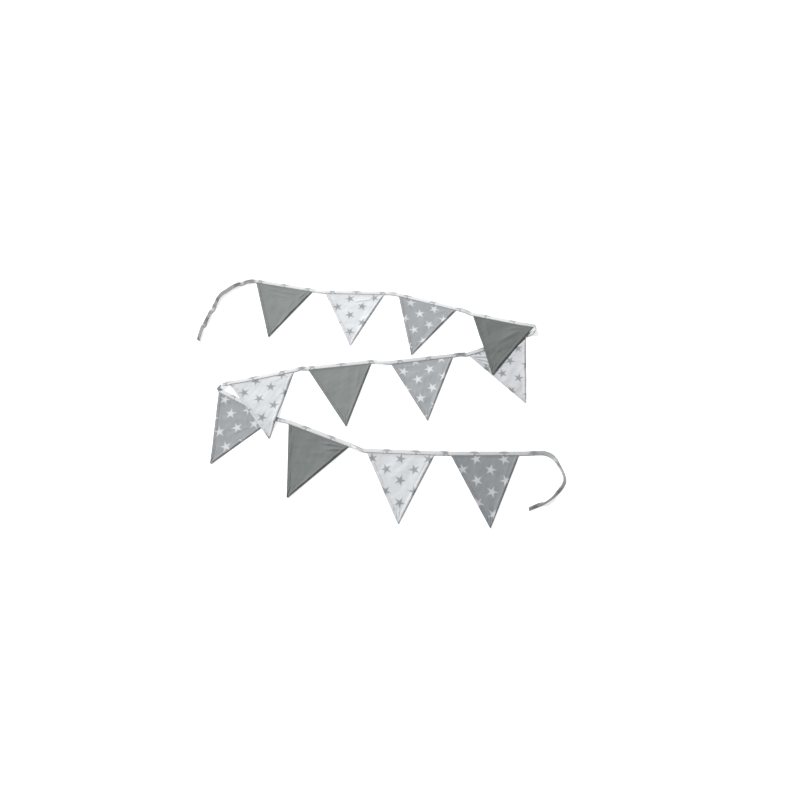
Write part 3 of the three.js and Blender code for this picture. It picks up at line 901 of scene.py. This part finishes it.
def weave_group():
    """Plain weave of round threads; the vector is in millimetres"""
    if "Plain weave" in bpy.data.node_groups:
        return bpy.data.node_groups["Plain weave"]
    tree, enter, leave = new_group(
        "Plain weave", (("Vector", "NodeSocketVector", None), ("Pitch", "NodeSocketFloat", 0.6)),
        (("Height", "NodeSocketFloat"), ("Tone", "NodeSocketFloat")))
    split = tree.nodes.new("ShaderNodeSeparateXYZ")
    tree.links.new(enter.outputs["Vector"], split.inputs[0])
    turn = math_node(tree, "DIVIDE", 2 * math.pi, enter.outputs["Pitch"])
    warp = math_node(tree, "SINE", math_node(tree, "MULTIPLY", split.outputs[0], turn))
    weft = math_node(tree, "SINE", math_node(tree, "MULTIPLY", split.outputs[1], turn))
    over = math_node(tree, "MULTIPLY", warp, weft)
    slubs = []
    for stretch in ((0.25, 3.0, 1.0), (3.0, 0.25, 1.0)):
        drawn = vector_node(tree, "MULTIPLY", enter.outputs["Vector"], stretch)
        slubs.append(noise_node(tree, drawn, 0.6, 2.0))
    slub = math_node(tree, "ADD", *slubs)
    height = math_node(tree, "MULTIPLY_ADD", over, 0.25, math_node(tree, "MULTIPLY", slub, 0.5))
    tree.links.new(height, leave.inputs["Height"])
    tree.links.new(range_node(tree, slub, 0.75, 1.25, 0.93, 1.05), leave.inputs["Tone"])
    return tree


def handling_group():
    """Soft uneven tone of washed and folded cloth; the vector is in millimetres"""
    if "Handled cloth" in bpy.data.node_groups:
        return bpy.data.node_groups["Handled cloth"]
    tree, enter, leave = new_group(
        "Handled cloth", (("Vector", "NodeSocketVector", None), ("Strength", "NodeSocketFloat", 0.05)),
        (("Tone", "NodeSocketFloat"), ("Roughness", "NodeSocketFloat")))
    broad = noise_node(tree, enter.outputs["Vector"], 0.022, 3.0, 0.55)
    strength = enter.outputs["Strength"]
    low = math_node(tree, "SUBTRACT", 1.0, strength)
    high = math_node(tree, "ADD", 1.0, strength)
    tree.links.new(range_node(tree, broad, 0.3, 0.7, low, high), leave.inputs["Tone"])
    tree.links.new(range_node(tree, broad, 0.3, 0.7, 0.84, 0.96), leave.inputs["Roughness"])
    return tree


def group_node(tree, group, **values):
    node = tree.nodes.new("ShaderNodeGroup")
    node.node_tree = group
    for key, value in values.items():
        put(tree, value, node.inputs[key])
    return node.outputs


def mix_colour(tree, blend, factor, a, b):
    node = tree.nodes.new("ShaderNodeMix")
    node.data_type = "RGBA"
    node.blend_type = blend
    put(tree, factor, node.inputs["Factor"])
    for value, socket in ((a, node.inputs[6]), (b, node.inputs[7])):
        put(tree, (*value, 1.0) if isinstance(value, tuple) and len(value) == 3 else value, socket)
    return node.outputs[2]


def shaded(tree, colour, tone):
    """The colour times a grey tone"""
    grey = tree.nodes.new("ShaderNodeCombineColor")
    for socket in grey.inputs[:3]:
        tree.links.new(tone, socket)
    return mix_colour(tree, "MULTIPLY", 1.0, colour, grey.outputs[0])


def attribute_value(tree, name):
    node = tree.nodes.new("ShaderNodeAttribute")
    node.attribute_name = name
    return node.outputs["Fac"]


def new_material(name):
    material = bpy.data.materials.new(name)
    material.use_nodes = True
    return material, material.node_tree, material.node_tree.nodes["Principled BSDF"]


def cloth_material(kind):
    name = f"{kind}_cotton"
    if name in bpy.data.materials:
        return bpy.data.materials[name]
    sizes, colours = settings()
    # Ground colour, star colour, and how dark the painted shade along the edges goes.
    ground, stars, shade = {
        "grey": (colours.grey, None, 0.6),
        "white_star": (colours.white, colours.white_star, 0.72),
        "grey_star": (colours.soft_grey, colours.grey_star, 0.6),
        "tape": (colours.tape, colours.tape_star, 0.7),
    }[kind]
    material, tree, shader = new_material(name)
    uv = tree.nodes.new("ShaderNodeUVMap")
    uv.uv_map = "Cloth"
    place = vector_node(tree, "MULTIPLY", uv.outputs[0], (CLOTH_UNIT,) * 3)
    # The tone attribute is the painted light and shade of each piece; the stars take part of it too.
    piece_painted_light = attribute_value(tree, "tone")
    colour = shaded(tree, tuple(ground), piece_painted_light)
    if stars is not None:
        star_colour = shaded(tree, tuple(stars), math_node(tree, "POWER", piece_painted_light, 0.85))
        mask = group_node(tree, star_print_group(), Vector=place, Softness=1.5)["Mask"]
        worn = range_node(tree, noise_node(tree, place, 0.9, 2.0), 0.3, 0.6, 0.86, 1.0)
        colour = mix_colour(tree, "MIX", math_node(tree, "MULTIPLY", mask, worn), colour, star_colour)
    weave = group_node(tree, weave_group(), Vector=place, Pitch=sizes.weave_pitch)
    handled = group_node(tree, handling_group(), Vector=place, Strength=0.04)
    tone = math_node(tree, "MULTIPLY", weave["Tone"], handled["Tone"])
    seam = range_node(tree, attribute_value(tree, "seam"), 0.0, 1.0, 1.0, 0.945)
    # The edge attribute is painted shade along the edges of the pennants and the open lip of the tape.
    edge = range_node(tree, attribute_value(tree, "edge"), 0.0, 1.0, 1.0, shade)
    tone = math_node(tree, "MULTIPLY", tone, math_node(tree, "MULTIPLY", seam, edge))
    tree.links.new(shaded(tree, colour, tone), shader.inputs["Base Color"])
    tree.links.new(handled["Roughness"], shader.inputs["Roughness"])
    shader.inputs["Specular IOR Level"].default_value = 0.25
    shader.inputs["Sheen Weight"].default_value = 0.12
    shader.inputs["Sheen Roughness"].default_value = 0.6
    bump = tree.nodes.new("ShaderNodeBump")
    bump.inputs["Strength"].default_value = 0.35
    bump.inputs["Distance"].default_value = 0.0002
    tree.links.new(weave["Height"], bump.inputs["Height"])
    tree.links.new(bump.outputs[0], shader.inputs["Normal"])
    return material


def thread_material():
    name = "sewing_thread"
    if name in bpy.data.materials:
        return bpy.data.materials[name]
    material, tree, shader = new_material(name)
    place = tree.nodes.new("ShaderNodeTexCoord").outputs["Object"]
    twist = range_node(tree, noise_node(tree, place, 2500.0, 1.0), 0.3, 0.7, 0.85, 1.0)
    tree.links.new(shaded(tree, tuple(settings()[1].thread), twist), shader.inputs["Base Color"])
    shader.inputs["Roughness"].default_value = 0.6
    return material


# Stage


def floor_material():
    material, _, shader = new_material("pale_floor")
    shader.inputs["Base Color"].default_value = (0.7, 0.7, 0.7, 1.0)
    shader.inputs["Emission Color"].default_value = (1.0, 1.0, 1.0, 1.0)
    shader.inputs["Emission Strength"].default_value = 0.55
    shader.inputs["Roughness"].default_value = 0.95
    shader.inputs["Specular IOR Level"].default_value = 0.0
    return material


def build_stage():
    bpy.ops.object.select_all(action="DESELECT")
    bpy.ops.mesh.primitive_plane_add(size=FLOOR_SIZE, location=(0.0, 0.0, -FLOOR_DROP))
    floor = bpy.context.object
    floor.name = "floor"
    bpy.ops.object.transform_apply(location=True, rotation=True, scale=True)
    floor.data.materials.append(floor_material())
    floor.select_set(False)

    bpy.ops.object.light_add(type="SUN", rotation=(math.radians(-33), math.radians(-36), 0.0))
    sun = bpy.context.object
    sun.name = "soft_key"
    sun.data.energy = 4.4
    sun.data.angle = math.radians(16)
    world = bpy.context.scene.world or bpy.data.worlds.new("studio")
    bpy.context.scene.world = world
    world.use_nodes = True
    background = world.node_tree.nodes["Background"]
    background.inputs["Color"].default_value = (1.0, 1.0, 1.0, 1.0)
    background.inputs["Strength"].default_value = 0.42
    bpy.context.scene.view_settings.view_transform = "Standard"

    elevation = math.radians(CAMERA_ELEVATION)
    shift = frame_shift() * MM
    place = (shift[0], shift[1] - CAMERA_DISTANCE * math.cos(elevation),
             CAMERA_DISTANCE * math.sin(elevation))
    bpy.ops.object.camera_add(location=place, rotation=(math.pi / 2 - elevation, 0.0, 0.0))
    camera = bpy.context.object
    camera.name = "camera"
    camera.data.sensor_fit = "HORIZONTAL"
    camera.data.sensor_width = SENSOR_WIDTH
    camera.data.lens = SENSOR_WIDTH * FOCAL_PIXELS / PHOTO_SIZE
    camera.data.clip_start = 0.05
    camera.data.clip_end = 50.0
    camera.data.dof.use_dof = False
    bpy.context.scene.camera = camera


class BUNTING_OT_pennants(bpy.types.Operator):
    """Make the twelve double-layer pennants"""

    bl_idname = "bunting.pennants"
    bl_label = "Pennants"

    def execute(self, context):
        for pennant in PENNANTS:
            build_pennant(pennant)
        return {"FINISHED"}


class BUNTING_OT_tape(bpy.types.Operator):
    """Make the folded tape with its two ties and its stitching"""

    bl_idname = "bunting.tape"
    bl_label = "Tape and stitching"

    def execute(self, context):
        tape, route = build_tape()
        stitching = build_stitches(route)
        return {"FINISHED"}


class BUNTING_OT_stage(bpy.types.Operator):
    """Set the floor, the light and the camera"""

    bl_idname = "bunting.stage"
    bl_label = "Stage"

    def execute(self, context):
        build_stage()
        return {"FINISHED"}


class BUNTING_PT_panel(bpy.types.Panel):
    """Sizes, colours and steps of the bunting"""

    bl_idname = "BUNTING_PT_panel"
    bl_label = "Fabric bunting"
    bl_space_type = "VIEW_3D"
    bl_region_type = "UI"
    bl_category = "Bunting"

    def draw(self, context):
        for group in (context.scene.bunting_sizes, context.scene.bunting_colours):
            box = self.layout.box()
            for key in group.__annotations__:
                box.prop(group, key)
        for operator in OPERATORS:
            self.layout.operator(operator.bl_idname)


OPERATORS = (BUNTING_OT_pennants, BUNTING_OT_tape, BUNTING_OT_stage)
CLASSES = (BuntingSizes, BuntingColours) + OPERATORS + (BUNTING_PT_panel,)


def register():
    for cls in CLASSES:
        bpy.utils.register_class(cls)
    bpy.types.Scene.bunting_sizes = bpy.props.PointerProperty(type=BuntingSizes)
    bpy.types.Scene.bunting_colours = bpy.props.PointerProperty(type=BuntingColours)


def unregister():
    del bpy.types.Scene.bunting_colours
    del bpy.types.Scene.bunting_sizes
    for cls in reversed(CLASSES):
        bpy.utils.unregister_class(cls)


def main():
    register()
    bpy.ops.bunting.pennants()
    bpy.ops.bunting.tape()
    bpy.ops.bunting.stage()


if __name__ == "__main__":
    main()
